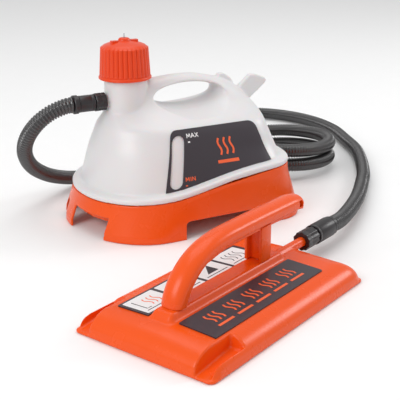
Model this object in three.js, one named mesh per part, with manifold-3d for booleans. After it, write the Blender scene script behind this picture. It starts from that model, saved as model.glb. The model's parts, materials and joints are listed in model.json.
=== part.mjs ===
// Wallpaper steamer: a four-litre boiling tank on a moulded base, a corrugated steam hose and a
// rectangular steam plate with a bar handle. Millimetres, +Z up. The origin is on the floor, under
// the middle of the tank and the plate together. The tank's long axis is X and its front faces -Y.
import * as THREE from 'three';
import { mergeVertices } from 'three/addons/utils/BufferGeometryUtils.js';
import Module from 'manifold-3d';

const wasm = await Module();
wasm.setup();

// ---------------------------------------------------------------- driving dimensions
const GAP = 0.3;
const TANK_AT = [55.4, 151.5];
const PLATE_AT = [-40.8, -137.8];
const PLATE_YAW = THREE.MathUtils.degToRad(23.5);

const WALL = 3;
const NECK_X = -73.7;
const NECK_RADIUS = 26.5;
const NECK_BORE = 22;
const NECK_TOP = 212;
const FINISH_RADIUS = 25.5;
const FLANGE_RISE = 7;
const FLANGE_LEDGE = 8.2;
const SUMP_FLOOR = 24;
const DRY_FLOOR = 50;
const STEP_X = -5;
// The loop handle's opening is an ellipse. It flares towards both faces and trails off below them.
const HAND_HOLE = { x: 6.5, z: 158, half: 47.5, rise: 13.5, flare: 4, face: 20, drop: 0.19, trail: 0.8 };

const CAP_FOOT = 184;
const CAP_RIM_RADIUS = 33;
const CAP_RIB_FOOT = 32;
const CAP_RIB_TOP = 29.8;
const CAP_RIBS = 32;
const CAP_BORE = 26.4;
const CAP_SHOULDER = 219;
const CAP_EDGE = 222.5;
const CAP_TOP = 234;
const VALVE_TUBE = { bore: 8.5, radius: 11, foot: 197 };

const OUTLET_Z = 157.5;
const OUTLET_BORE = 4.5;
const OUTLET_RADIUS = 7;
const HOSE_DIAMETER = 20.5;
const HOSE_SIDES = 8;
const LYING = HOSE_DIAMETER / 2 + 0.2;
const COLLAR_RADIUS = 11.7;
const NUT_RADIUS = 11;
const NUT_LOBES = 10;

const COIL_AT = [283, 252];
const COIL_RADIUS = 78;
const COIL_TURNS = 1.75;
const TURN_RISE = HOSE_DIAMETER + 1;

const PLATE = { length: 280, width: 169, crown: 25, fall: 1.5, roll: 30, lip: 2.5, corner: 8 };
const PLATE_SKIN = 3;
const SPINE = { left: -104, right: 84, top: 9, foot: 13, rise: 8 };
const CHANNEL = { start: -84, inner: 64, outer: 80, deep: 9 };
const SPIGOT_Z = 23.5;
const SPIGOT_RADIUS = 5.7;
const HANDLE = { half: 13, low: -7, shoulder: -1, crown: 7.5, foot: -91, post: 55 };

const COLOURS = {
  orange: 0xe9531d,
  cap: 0xe8451f,
  white: 0xe9e6e3,
  black: 0x211d20,
  charcoal: 0x2f2a31,
  rubber: 0x1a1a1a,
  steel: 0xb9bcc0,
  brass: 0xc09a48,
  cream: 0xd9d4c5,
};

// ---------------------------------------------------------------- geometry helpers
function solid(geometry) {
  const bare = geometry.clone();
  bare.deleteAttribute('normal');
  bare.deleteAttribute('uv');
  const welded = mergeVertices(bare, 1e-4);
  return new wasm.Manifold(new wasm.Mesh({
    numProp: 3,
    vertProperties: new Float32Array(welded.attributes.position.array),
    triVerts: new Uint32Array(welded.index.array),
  }));
}

function geometryOf(shape) {
  const data = shape.getMesh();
  const geometry = new THREE.BufferGeometry();
  geometry.setAttribute('position', new THREE.BufferAttribute(data.vertProperties, 3));
  geometry.setIndex(new THREE.BufferAttribute(data.triVerts, 1));
  return geometry;
}

function join(...shapes) {
  return shapes.reduce((whole, shape) => whole.add(shape));
}

function cut(shape, ...tools) {
  return tools.reduce((left, tool) => left.subtract(tool), shape);
}

function box(low, high) {
  const size = high.map((value, axis) => value - low[axis]);
  const geometry = new THREE.BoxGeometry(...size);
  geometry.translate(...high.map((value, axis) => (value + low[axis]) / 2));
  return solid(geometry);
}

// A solid of revolution about +Z through (x, y), from [radius, z] points that end on the axis.
function turned(profile, sides, x = 0, y = 0) {
  const points = profile.map(([radius, z]) => new THREE.Vector2(radius, z));
  const geometry = new THREE.LatheGeometry(points, sides);
  geometry.rotateX(Math.PI / 2);
  geometry.translate(x, y, 0);
  return solid(geometry);
}

// A ring about +Z: its profile closes on itself.
function ring(inner, outer, low, high, sides, x = 0, y = 0) {
  const profile = [[inner, low], [outer, low], [outer, high], [inner, high], [inner, low]];
  return turned(profile, sides, x, y);
}

function rod(radius, low, high, sides, x = 0, y = 0) {
  return turned([[0, low], [radius, low], [radius, high], [0, high]], sides, x, y);
}

// Turns a solid made about +Z so that its +Z runs along the given direction, then moves it.
function aimed(shape, direction, at) {
  const matrix = new THREE.Matrix4();
  const turn = new THREE.Quaternion().setFromUnitVectors(
    new THREE.Vector3(0, 0, 1), new THREE.Vector3(...direction).normalize());
  matrix.compose(new THREE.Vector3(...at), turn, new THREE.Vector3(1, 1, 1));
  const geometry = geometryOf(shape);
  geometry.applyMatrix4(matrix);
  return solid(geometry);
}

function outlineShape(points) {
  return new THREE.Shape(points.map(([x, y]) => new THREE.Vector2(x, y)));
}

function slab(shape, low, high, curveSegments = 6) {
  const options = { depth: high - low, bevelEnabled: false, curveSegments };
  const geometry = new THREE.ExtrudeGeometry(shape, options);
  geometry.translate(0, 0, low);
  return solid(geometry);
}

// A shape drawn in X and Z, extruded along Y.
function crossSlab(shape, low, high, curveSegments = 6) {
  const options = { depth: high - low, bevelEnabled: false, curveSegments };
  const geometry = new THREE.ExtrudeGeometry(shape, options);
  geometry.rotateX(Math.PI / 2);
  geometry.translate(0, high, 0);
  return solid(geometry);
}

function roundedRectangle(left, right, low, high, corner) {
  const shape = new THREE.Shape();
  shape.moveTo(left + corner, low);
  shape.absarc(right - corner, low + corner, corner, -Math.PI / 2, 0);
  shape.absarc(right - corner, high - corner, corner, 0, Math.PI / 2);
  shape.absarc(left + corner, high - corner, corner, Math.PI / 2, Math.PI);
  shape.absarc(left + corner, low + corner, corner, Math.PI, Math.PI * 1.5);
  return shape;
}

// A closed body through rings of equal length that run anticlockwise and climb.
function loft(rings) {
  const count = rings[0].length;
  const positions = rings.flat(2);
  const index = [];
  for (let level = 0; level + 1 < rings.length; level += 1) {
    for (let i = 0; i < count; i += 1) {
      const a = level * count + i;
      const b = level * count + ((i + 1) % count);
      index.push(a, b, b + count, a, b + count, a + count);
    }
  }
  const caps = [[rings[0], 0, false], [rings[rings.length - 1], (rings.length - 1) * count, true]];
  for (const [points, start, up] of caps) {
    const centre = positions.length / 3;
    const middle = [0, 1, 2].map((axis) => points.reduce((sum, p) => sum + p[axis], 0) / count);
    positions.push(...middle);
    for (let i = 0; i < count; i += 1) {
      const j = (i + 1) % count;
      index.push(centre, start + (up ? i : j), start + (up ? j : i));
    }
  }
  const geometry = new THREE.BufferGeometry();
  geometry.setAttribute('position', new THREE.Float32BufferAttribute(positions, 3));
  geometry.setIndex(index);
  return solid(geometry);
}

// A closed body under a height function over a rectangular grid, down to one flat level.
function heightBody(xs, ys, height, floor) {
  const positions = [];
  const index = [];
  const across = ys.length;
  const layer = xs.length * across;
  for (const level of [(x, y) => height(x, y), () => floor]) {
    xs.forEach((x) => ys.forEach((y) => positions.push(x, y, level(x, y))));
  }
  for (let i = 0; i + 1 < xs.length; i += 1) {
    for (let j = 0; j + 1 < across; j += 1) {
      const a = i * across + j;
      const b = a + across;
      index.push(a, b, b + 1, a, b + 1, a + 1);
      index.push(a + layer, b + 1 + layer, b + layer, a + layer, a + 1 + layer, b + 1 + layer);
    }
  }
  const wall = (a, b) => index.push(a, a + layer, b + layer, a, b + layer, b);
  for (let i = 0; i + 1 < xs.length; i += 1) {
    wall(i * across, (i + 1) * across);
    wall((i + 2) * across - 1, (i + 1) * across - 1);
  }
  for (let j = 0; j + 1 < across; j += 1) {
    wall(j + 1, j);
    wall((xs.length - 1) * across + j, (xs.length - 1) * across + j + 1);
  }
  const geometry = new THREE.BufferGeometry();
  geometry.setAttribute('position', new THREE.Float32BufferAttribute(positions, 3));
  geometry.setIndex(index);
  return solid(geometry);
}

function circleShape(radius, sides) {
  const points = [];
  for (let i = 0; i < sides; i += 1) {
    const angle = (2 * Math.PI * i) / sides;
    points.push([radius * Math.cos(angle), radius * Math.sin(angle)]);
  }
  return outlineShape(points);
}

function sweep(shape, points, steps) {
  const path = new THREE.CatmullRomCurve3(points.map((p) => new THREE.Vector3(...p)));
  path.arcLengthDivisions = 600;
  return solid(new THREE.ExtrudeGeometry(shape, { steps, extrudePath: path }));
}

function piece(name, shape, colour, roughness, metalness, parent) {
  const material = new THREE.MeshStandardMaterial({ color: colour, roughness, metalness });
  const mesh = new THREE.Mesh(geometryOf(shape), material);
  mesh.name = name;
  parent.add(mesh);
}

// ---------------------------------------------------------------- tank outlines
// A plan outline has two superelliptic ends, [extreme, run, power], joined by straight sides.
const BASE_FOOT = { left: [-153, 85, 1.95], right: [148, 63, 2.9], half: 110 };
const FLANGE = { left: [-141, 104, 2.1], right: [130, 62, 3], half: 107 };
const BODY_FOOT = { left: [-131, 98, 2.1], right: [122, 56, 2.8], half: 96 };
const SUMP = { left: [-122, 88, 2.2], right: [STEP_X, 16, 6], half: 86 };
const DRY_TUB = { left: [-60, 16, 6], right: [111, 50, 2.8], half: 86 };
const TRAY = { left: [-135.5, 91, 2.1], right: [123, 56, 2.9], half: 93.5 };

// The tank above its flange, level by level up to the top of the loop handle.
const BODY_LEVELS = [
  { z: 95, left: [-120, 92, 2.1], right: [119, 52, 2.7], half: 84 },
  { z: 112, left: [-114.5, 86, 2.05], right: [113.5, 48, 2.6], half: 76.5 },
  { z: 125, left: [-110.5, 80, 2], right: [109.5, 44, 2.5], half: 69 },
  { z: 133, left: [-107, 76, 2], right: [107.5, 44, 2.4], half: 58 },
  { z: 139, left: [-104.5, 72, 2], right: [105, 44, 2.3], half: 46 },
  { z: 145, left: [-102, 68, 2], right: [101, 44, 2.2], half: 35 },
  { z: 151, left: [-99, 60, 2], right: [95.5, 40, 2.1], half: 27.5 },
  { z: 158, left: [-94, 50, 2], right: [88.5, 36, 2], half: 22 },
  { z: 166, left: [-86, 42, 2], right: [74, 34, 2], half: 18 },
  { z: 173, left: [-72, 34, 2], right: [59, 32, 2], half: 15 },
  { z: 179, left: [-48, 30, 2], right: [36, 26, 2], half: 10.5 },
  { z: 182.3, left: [-14, 12, 2], right: [20, 16, 2], half: 4 },
];
const END_STEPS = 14;
const SIDE_STEPS = 3;

// Height of the seam between the base and the tank's flange, which sweeps up to the right.
function seam(x) {
  return 58.1 + 15.2 * Math.tanh((x + 8) / 76);
}

function signedPower(value, power) {
  return Math.sign(value) * Math.abs(value) ** power;
}

function planOutline(plan, inset = 0) {
  const half = plan.half - inset;
  const ends = [[plan.right, 1], [plan.left, -1]];
  const points = [];
  for (const [[extreme, run, power], side] of ends) {
    const centre = extreme - side * run;
    for (let i = 0; i <= END_STEPS; i += 1) {
      const angle = -Math.PI / 2 + (Math.PI * i) / END_STEPS;
      const x = centre + side * (run - inset) * signedPower(Math.cos(angle), 2 / power);
      points.push([x, side * half * signedPower(Math.sin(angle), 2 / power)]);
    }
    const other = side > 0 ? plan.left : plan.right;
    const target = other[0] + side * other[1];
    for (let i = 1; i < SIDE_STEPS; i += 1) {
      points.push([centre + ((target - centre) * i) / SIDE_STEPS, side * half]);
    }
  }
  return points;
}

function levelRing(plan, height, inset = 0) {
  const at = typeof height === 'number' ? () => height : height;
  return planOutline(plan, inset).map(([x, y]) => [x, y, at(x)]);
}

function planSlab(plan, low, high, inset = 0) {
  return loft([levelRing(plan, low, inset), levelRing(plan, high, inset)]);
}

// ---------------------------------------------------------------- tank
function bodyRings(inset) {
  return [
    levelRing(BODY_FOOT, (x) => seam(x) + FLANGE_LEDGE, inset),
    ...BODY_LEVELS.map((level) => levelRing(level, level.z, inset)),
  ];
}

function tankOutside() {
  const rings = [
    levelRing(FLANGE, seam),
    levelRing(FLANGE, (x) => seam(x) + FLANGE_RISE),
    levelRing(FLANGE, (x) => seam(x) + FLANGE_RISE + 0.8, 2),
    ...bodyRings(0),
  ];
  const neck = turned([
    [0, 105], [NECK_RADIUS + 8, 105], [NECK_RADIUS + 3, 128], [NECK_RADIUS, 146],
    [NECK_RADIUS, CAP_FOOT - 1],
    [FINISH_RADIUS, CAP_FOOT - 1], [FINISH_RADIUS, NECK_TOP], [0, NECK_TOP],
  ], 28, NECK_X);
  return join(
    loft(rings),
    planSlab(SUMP, SUMP_FLOOR, 60),
    planSlab(DRY_TUB, DRY_FLOOR, 78),
    neck,
    outletSpigot(),
    parkHook(),
  );
}

function outletSpigot() {
  const spigot = rod(OUTLET_RADIUS, 0, 58, 20);
  return aimed(spigot, [-1, 0, 0], [NECK_X, 0, OUTLET_Z]);
}

// A flat paddle and a small lip on the handle's right shoulder: the plate's handle hangs between.
function parkHook() {
  const paddle = outlineShape([
    [76, 130], [98, 130], [110.7, 141], [131.8, 157.2], [134.5, 161], [131, 165.8], [118.5, 170.3],
    [108.5, 171.5], [90, 156],
  ]);
  const lip = outlineShape([
    [52, 166], [80, 158], [81.5, 164.6], [77, 170.6], [66.8, 177.4], [59.8, 177.4], [58.5, 173],
  ]);
  return join(crossSlab(paddle, -4.5, 4.5), crossSlab(lip, -5, 5));
}

function tankInside() {
  const [foot, waist, shoulder, brow] = BODY_LEVELS;
  const rings = [
    levelRing(foot, 84, WALL + 1),
    ...[foot, waist, shoulder].map((level) => levelRing(level, level.z, WALL)),
    levelRing(brow, 130.5, 8),
    levelRing(brow, 133.5, 24),
  ];
  const middle = { left: [-119, 88, 2.1], right: [108, 48, 2.8], half: 83 };
  return join(
    loft(rings),
    planSlab(SUMP, SUMP_FLOOR + WALL, 70, WALL),
    planSlab(middle, DRY_FLOOR + WALL, 86),
    rod(NECK_BORE, 120, NECK_TOP + 1, 24, NECK_X),
    aimed(rod(OUTLET_BORE, 0, 60, 16), [-1, 0, 0], [NECK_X, 0, OUTLET_Z]),
  );
}

const ELEMENT = { radius: 4, reach: -88, half: 14, z: 38, end: 9 };
const ELEMENT_SCREW_Y = 27;

function handHole() {
  const { x, z, half, rise, flare, face, drop, trail } = HAND_HOLE;
  const rings = [-62, -face, -face / 2, face / 2, face, 62].map((y) => {
    const spread = flare * (Math.min(Math.abs(y), face) / face) ** 2;
    const beyond = Math.max(0, Math.abs(y) - face);
    const points = [];
    for (let i = 0; i < 24; i += 1) {
      const angle = (2 * Math.PI * i) / 24;
      const reach = half + spread + (Math.sin(angle) > 0 ? trail * beyond : 0);
      const climb = rise + spread + (Math.cos(angle) < 0 ? drop * beyond : 0);
      points.push([x + reach * Math.sin(angle), y, z + climb * Math.cos(angle)]);
    }
    return points;
  });
  return loft(rings);
}

function tankShell() {
  const drills = [-1, 1].flatMap((side) => [
    aimed(rod(5.5, -8, 8, 12), [1, 0, 0], [STEP_X, side * ELEMENT.half, ELEMENT.z]),
    aimed(rod(2.2, -8, 8, 8), [1, 0, 0], [STEP_X, side * ELEMENT_SCREW_Y, ELEMENT.z]),
  ]);
  return cut(tankOutside(), tankInside(), handHole(), ...drills);
}

const LABEL = { left: -65.5, right: 84.5, top: 127.5, topLeft: -46.5, topRight: 72.5, corner: 9 };
const WINDOW = { x: -52.6, lean: 0.24, half: 8.2, low: 61.2, high: 121.7 };
const LABEL_GAP = 0.45;
const LABEL_SKIN = 1.1;

function labelOutline() {
  const { left, right, top, topLeft, topRight, corner } = LABEL;
  const shape = new THREE.Shape();
  const rise = FLANGE_LEDGE + 1;
  shape.moveTo(left, seam(left) + rise);
  for (let x = left + 25; x < right; x += 25) {
    shape.lineTo(x, seam(x) + rise);
  }
  shape.lineTo(right, seam(right) + rise);
  shape.lineTo(topRight + corner * 0.25, top - corner);
  shape.quadraticCurveTo(topRight, top, topRight - corner, top);
  shape.lineTo(topLeft + corner, top);
  shape.quadraticCurveTo(topLeft, top, topLeft - corner * 0.25, top - corner);
  shape.closePath();
  return shape;
}

function windowOutline() {
  const { x, lean, half, low, high } = WINDOW;
  const points = [];
  for (let i = 0; i < 16; i += 1) {
    const angle = (Math.PI * 2 * i) / 16;
    const centre = Math.sin(angle) >= 0 ? high - half : low + half;
    const z = centre + half * Math.sin(angle);
    points.push(new THREE.Vector2(x + lean * (z - low) + half * Math.cos(angle), z));
  }
  return new THREE.Shape(points);
}

// The label is a thin skin standing just off the front face, trimmed to its outline.
function tankLabel() {
  const skin = loft(bodyRings(-LABEL_GAP - LABEL_SKIN));
  const trimmed = skin.intersect(crossSlab(labelOutline(), -120, -20));
  return cut(trimmed, loft(bodyRings(-LABEL_GAP)), crossSlab(windowOutline(), -120, 0));
}

// ---------------------------------------------------------------- base
const LUGS = [[-62, 1], [-62, -1], [84, 1], [84, -1]];
const LUG_Y = 99;
const LUG_FOOT = 21.4;
const GLAND_AT = [40, 38];
const ARCHES = [
  { low: [-46, -130], high: [82, -60], top: 22 },
  { low: [-46, 60], high: [82, 130], top: 22 },
  { low: [-170, -62], high: [-100, 4], top: 27 },
  { low: [-170, 34], high: [-100, 62], top: 24 },
  { low: [100, -52], high: [170, 52], top: 24 },
];

// A soft-cornered opening through the skirt, cut up from below.
function arch({ low, high, top }) {
  const alongX = high[0] - low[0] > high[1] - low[1];
  const axis = alongX ? 0 : 1;
  const shape = roundedRectangle(low[axis], high[axis], -20, top, 5);
  const body = crossSlab(shape, alongX ? low[1] : -high[0], alongX ? high[1] : -low[0]);
  if (alongX) {
    return body;
  }
  const geometry = geometryOf(body);
  geometry.rotateZ(Math.PI / 2);
  return solid(geometry);
}

function baseSkirt() {
  const top = (x) => seam(x) - GAP;
  const outside = loft([
    levelRing(BASE_FOOT, 0),
    levelRing(BASE_FOOT, 8, 0.5),
    levelRing(FLANGE, (x) => Math.min(top(x) - 4, 60), -0.5),
    levelRing(FLANGE, top, 1.2),
  ]);
  const inside = loft([
    levelRing(BASE_FOOT, -1, WALL),
    levelRing(BASE_FOOT, 8, WALL + 0.5),
    levelRing(FLANGE, (x) => Math.min(top(x) - 4, 60), WALL - 0.5),
    levelRing(FLANGE, (x) => top(x) + 1, WALL + 0.7),
  ]);
  const lugs = LUGS.map(([x, side]) => {
    const [near, far] = side > 0 ? [94.6, 106.5] : [-106.5, -94.6];
    return box([x - 7, near, LUG_FOOT], [x + 7, far, 33]);
  });
  const holes = LUGS.map(([x, side]) => rod(2.1, LUG_FOOT - 1, 31, 12, x, side * LUG_Y));
  const gland = aimed(rod(6.9, 0, 40, 20), [0, 1, 0], [GLAND_AT[0], 80, GLAND_AT[1]]);
  return cut(join(cut(outside, inside), ...lugs), ...ARCHES.map(arch), ...holes, gland);
}

// The pan inside the skirt closes the dry compartment under the tank.
function baseTray() {
  const rim = (x) => seam(x) - 2;
  const pan = cut(
    loft([levelRing(TRAY, 18), levelRing(TRAY, rim)]),
    loft([levelRing(TRAY, 20.5, 2.5), levelRing(TRAY, (x) => rim(x) + 2, 2.5)]),
  );
  const ears = LUGS.map(([x, side]) => {
    const [near, far] = side > 0 ? [90, 103] : [-103, -90];
    return box([x - 8, near, 18], [x + 8, far, 20.8]);
  });
  const holes = LUGS.map(([x, side]) => rod(2.1, 10, LUG_FOOT, 12, x, side * LUG_Y));
  const gland = aimed(rod(6.9, 0, 40, 20), [0, 1, 0], [GLAND_AT[0], 80, GLAND_AT[1]]);
  return cut(join(pan, ...ears), ...holes, gland);
}

function panScrew(x, y) {
  return turned([[0, 15.4], [3.4, 15.4], [3.8, 17.7], [1.8, 17.7], [1.8, 30], [0, 30.6]], 8, x, y);
}

function cableGland() {
  const profile = [
    [3.7, -20], [6.5, -20], [6.5, 1.5], [9.5, 1.5], [9.5, 6], [7, 9.5], [3.7, 9.5], [3.7, -20],
  ];
  return aimed(turned(profile, 16), [0, 1, 0], [GLAND_AT[0], 107.5, GLAND_AT[1]]);
}

function glandNut() {
  const nut = slab(circleShape(11, 6), 0, 5);
  const threaded = cut(nut, rod(6.9, -1, 6, 20));
  return aimed(threaded, [0, -1, 0], [GLAND_AT[0], 91, GLAND_AT[1]]);
}

// ---------------------------------------------------------------- heating
function heatingElement() {
  const { radius, reach, half, z, end } = ELEMENT;
  const points = [[end, -half, z], [-30, -half, z], [reach + half, -half, z]];
  for (let i = 1; i < 6; i += 1) {
    const angle = -Math.PI / 2 - (Math.PI * i) / 6;
    points.push([reach + half + half * Math.cos(angle), half * Math.sin(angle), z]);
  }
  points.push([reach + half, half, z], [-30, half, z], [end, half, z]);
  return sweep(circleShape(radius, 8), points, 26);
}

function elementPlate(low, high, bore) {
  const shape = roundedRectangle(-33, 33, ELEMENT.z - 10.5, ELEMENT.z + 10.5, 8);
  const plate = crossSlab(shape, low, high, 3);
  const geometry = geometryOf(plate);
  geometry.rotateZ(-Math.PI / 2);
  const holes = [-1, 1].flatMap((side) => [
    aimed(rod(bore, -8, 8, 12), [1, 0, 0], [STEP_X + 3, side * ELEMENT.half, ELEMENT.z]),
    aimed(rod(2.2, -8, 8, 8), [1, 0, 0], [STEP_X + 3, side * ELEMENT_SCREW_Y, ELEMENT.z]),
  ]);
  return cut(solid(geometry), ...holes);
}

function elementScrew(side) {
  const profile = [[0, 0], [3.4, 0], [3.8, 2.4], [1.8, 2.4], [1.8, 15.5], [0, 15.5]];
  return aimed(turned(profile, 8), [-1, 0, 0], [2.3, side * ELEMENT_SCREW_Y, ELEMENT.z]);
}

function elementNut(side) {
  const nut = cut(slab(circleShape(4, 6), 0, 2.6), rod(2.1, -1, 4, 12));
  const at = [STEP_X - WALL - GAP, side * ELEMENT_SCREW_Y, ELEMENT.z];
  return aimed(nut, [-1, 0, 0], at);
}

function dryBoilCutout() {
  const profile = [[0, 0], [8.6, 0], [8.6, 3], [6, 3], [6, 7], [0, 7]];
  return aimed(turned(profile, 20), [1, 0, 0], [0.1, 0, ELEMENT.z]);
}

function terminalBlock() {
  const body = box([46, -22, 20.9], [62, 22, 36]);
  const ways = [-15, 0, 15].map((y) => rod(2.2, 26, 40, 10, 54, y));
  return cut(body, ...ways);
}

function wire(from, to) {
  const middle = [(from[0] + to[0]) / 2, (from[1] + to[1]) / 2, Math.max(from[2], to[2]) + 3];
  return sweep(circleShape(1.3, 6), [from, middle, to], 5);
}

// ---------------------------------------------------------------- filler cap and relief valve
// The cap's ribbed side, drawn in as it climbs.
function capRibs() {
  const pointsPerRib = 3;
  const ringAt = (outer, z) => {
    const points = [];
    for (let i = 0; i < CAP_RIBS * pointsPerRib; i += 1) {
      const angle = (2 * Math.PI * i) / (CAP_RIBS * pointsPerRib);
      const radius = i % pointsPerRib < 2 ? outer : outer - 1.4;
      points.push([radius * Math.cos(angle), radius * Math.sin(angle), z]);
    }
    return points;
  };
  return loft([ringAt(CAP_RIB_FOOT, CAP_FOOT + 2.5), ringAt(CAP_RIB_TOP, CAP_EDGE - 1)]);
}

function fillerCap() {
  const core = turned([
    [0, CAP_FOOT], [CAP_RIM_RADIUS, CAP_FOOT], [CAP_RIM_RADIUS, CAP_FOOT + 3.2],
    [CAP_RIB_FOOT - 1.8, CAP_FOOT + 4.2], [CAP_RIB_TOP - 1.6, CAP_EDGE],
    [CAP_RIB_TOP - 3.6, CAP_EDGE + 2.4], [20, CAP_EDGE + 5], [12, CAP_EDGE + 7],
    [8, CAP_EDGE + 7.6], [7, CAP_EDGE + 10.2], [5, CAP_TOP], [0, CAP_TOP],
  ], 30);
  const lugs = [-1, 1].map((side) => {
    const [near, far] = side > 0 ? [9, 18] : [-18, -9];
    return box([near, -3.5, CAP_EDGE + 3], [far, 3.5, CAP_EDGE + 8.8]);
  });
  const inside = cut(
    turned([
      [0, CAP_FOOT - 1], [CAP_BORE, CAP_FOOT - 1], [CAP_BORE, NECK_TOP + 3.5],
      [18, CAP_SHOULDER + 5.5], [0, CAP_SHOULDER + 6.5],
    ], 28),
    rod(VALVE_TUBE.radius, VALVE_TUBE.foot, CAP_SHOULDER + 12, 18),
  );
  const bores = join(rod(VALVE_TUBE.bore, CAP_FOOT, 225, 18), rod(1.4, 220, CAP_TOP + 1, 12));
  return cut(join(core, capRibs(), ...lugs), inside, bores);
}

function valveSeat() {
  const profile = [
    [3.2, 197.5], [8.2, 197.5], [8.2, 201], [4.6, 201], [4, 202], [3.2, 202], [3.2, 197.5],
  ];
  return turned(profile, 16);
}

function valveStem() {
  return turned([
    [0, 202.3], [6.4, 202.3], [6.4, 204.6], [1, 205.4], [1, CAP_TOP + 5.2], [0, CAP_TOP + 5.6],
  ], 16);
}

function valveSpring() {
  const turns = 5;
  const points = [];
  for (let i = 0; i <= turns * 8; i += 1) {
    const angle = (2 * Math.PI * i) / 8;
    const z = 206.5 + (17 * i) / (turns * 8);
    points.push([4.4 * Math.cos(angle), 4.4 * Math.sin(angle), z]);
  }
  return sweep(circleShape(0.55, 5), points, turns * 7);
}

// ---------------------------------------------------------------- hose fittings
// Each fitting is made along +Z from its spigot's mouth and aimed where the spigot points.
function lockingNut(length, bore) {
  const outline = [];
  for (let i = 0; i < NUT_LOBES * 3; i += 1) {
    const angle = (2 * Math.PI * i) / (NUT_LOBES * 3);
    const radius = NUT_RADIUS + (i % 3 < 2 ? 0.5 : -0.5);
    outline.push([radius * Math.cos(angle), radius * Math.sin(angle)]);
  }
  return cut(slab(outlineShape(outline), 0, length), rod(bore, -1, length + 1, 16));
}

function hoseCuff(length, mouth, radius, bore) {
  const profile = [
    [bore, 0], [radius - 0.6, 0], [radius, 1], [radius, length],
    [4, length], [4, mouth], [bore, mouth], [bore, 0],
  ];
  return turned(profile, 16);
}

function hoseCollar(length) {
  const r = COLLAR_RADIUS;
  const profile = [[4, 0], [r - 1, 0], [r, 1], [r, length - 1], [r - 1, length], [4, length], [4, 0]];
  return turned(profile, 16);
}

const TANK_FITTING = {
  nut: [102.3, 116.5], cuff: [117.6, 138], collar: [138.3, 145], mouth: 131.7, radius: 10.4, bore: 7.4,
};
const PLATE_FITTING = {
  nut: [145.5, 170], cuff: [171, 207], collar: [207.3, 212], mouth: 188, radius: 12.2, bore: 6.2,
};

function addFitting(prefix, plan, place, parent) {
  const put = (name, shape, colour, roughness) => {
    piece(`${prefix}_${name}`, place(shape.shape, shape.at), colour, roughness, 0, parent);
  };
  const span = ([from, to]) => to - from;
  const { radius, bore, mouth } = plan;
  put('nut', { shape: lockingNut(span(plan.nut), bore), at: plan.nut[0] }, COLOURS.black, 0.45);
  const cuff = hoseCuff(span(plan.cuff), mouth + 2.9 - plan.cuff[0], radius, bore);
  put('cuff', { shape: cuff, at: plan.cuff[0] }, COLOURS.black, 0.4);
  put('collar', { shape: hoseCollar(span(plan.collar)), at: plan.collar[0] }, COLOURS.black, 0.5);
  put('seal', { shape: ring(bore - 2.6, bore - 0.4, 0, 2.2, 16), at: mouth + GAP }, COLOURS.rubber, 0.7);
}

// ---------------------------------------------------------------- hose
// Where the hose isn't coiled its route is a list of centre points, from the tank to the coil and
// from the coil to the plate. Between them it lies in a coil that climbs one diameter a turn.
const LEAD_ROUTE = [
  [-90.1, 151.5, 157.5], [-94.4, 151.5, 157.4], [-103.4, 152, 155.6], [-116.4, 154.2, 150.5],
  [-129.4, 159.7, 140.5], [-138.4, 168.2, 127], [-141.9, 180.2, 111.5], [-139.9, 194.2, 95.5],
  [-132.4, 210.7, 79.5], [-120.4, 229.2, 63.5], [-103.9, 248.7, 48.5], [-83.4, 267.7, 34.5],
  [-59.4, 284.7, 23], [-32.4, 298.7, 14.5], [-3.4, 309.2, LYING], [40.6, 319.2, LYING],
  [100.6, 326.2, LYING], [160.6, 330, LYING], [224, COIL_AT[1] + COIL_RADIUS + 1, LYING],
];
const TAIL_ROUTE = [
  [COIL_AT[0] - COIL_RADIUS, 313.5, 46], [204.8, 336, 40.5], [204.5, 362, 32.5], [205.5, 388, 24.5],
  [208.5, 414, 17], [214, 440, 12], [222.5, 464, LYING], [242, 492, LYING],
  [272.6, 517, LYING], [316.6, 535.2, LYING], [366.6, 535.2, LYING], [415.6, 511.2, LYING],
  [448.6, 467.2, LYING], [464.9, 409.9, LYING], [460.8, 345.8, LYING], [439.4, 282.5, LYING],
  [417.1, 227.1, LYING], [387, 177.4, LYING], [344.3, 118.5, LYING], [322, 93.6, LYING],
  [293.3, 62.5, 12], [261.9, 30.7, 14], [228.1, -0.2, 17], [202.7, -21.4, 19],
  [182.1, -36.9, 20.5], [169, -45.5, 22.3], [159.7, -50.7, 23.4], [154.1, -53.1, SPIGOT_Z],
];

function hoseTube(route, steps) {
  return sweep(circleShape(HOSE_DIAMETER / 2, HOSE_SIDES), route, steps);
}

function hoseCoil() {
  const half = HOSE_DIAMETER / 2;
  const top = LYING + COIL_TURNS * TURN_RISE + half;
  return ring(COIL_RADIUS - half, COIL_RADIUS + half, 0.2, top, 36, COIL_AT[0], COIL_AT[1]);
}

// ---------------------------------------------------------------- steam plate
function rollProfile(distance) {
  const share = Math.min(1, Math.max(0, distance / PLATE.roll));
  return Math.sqrt(1 - (1 - share) ** 2);
}

function clampedRise(value, low, high) {
  return Math.min(1, Math.max(0, (value - low) / (high - low)));
}

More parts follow.
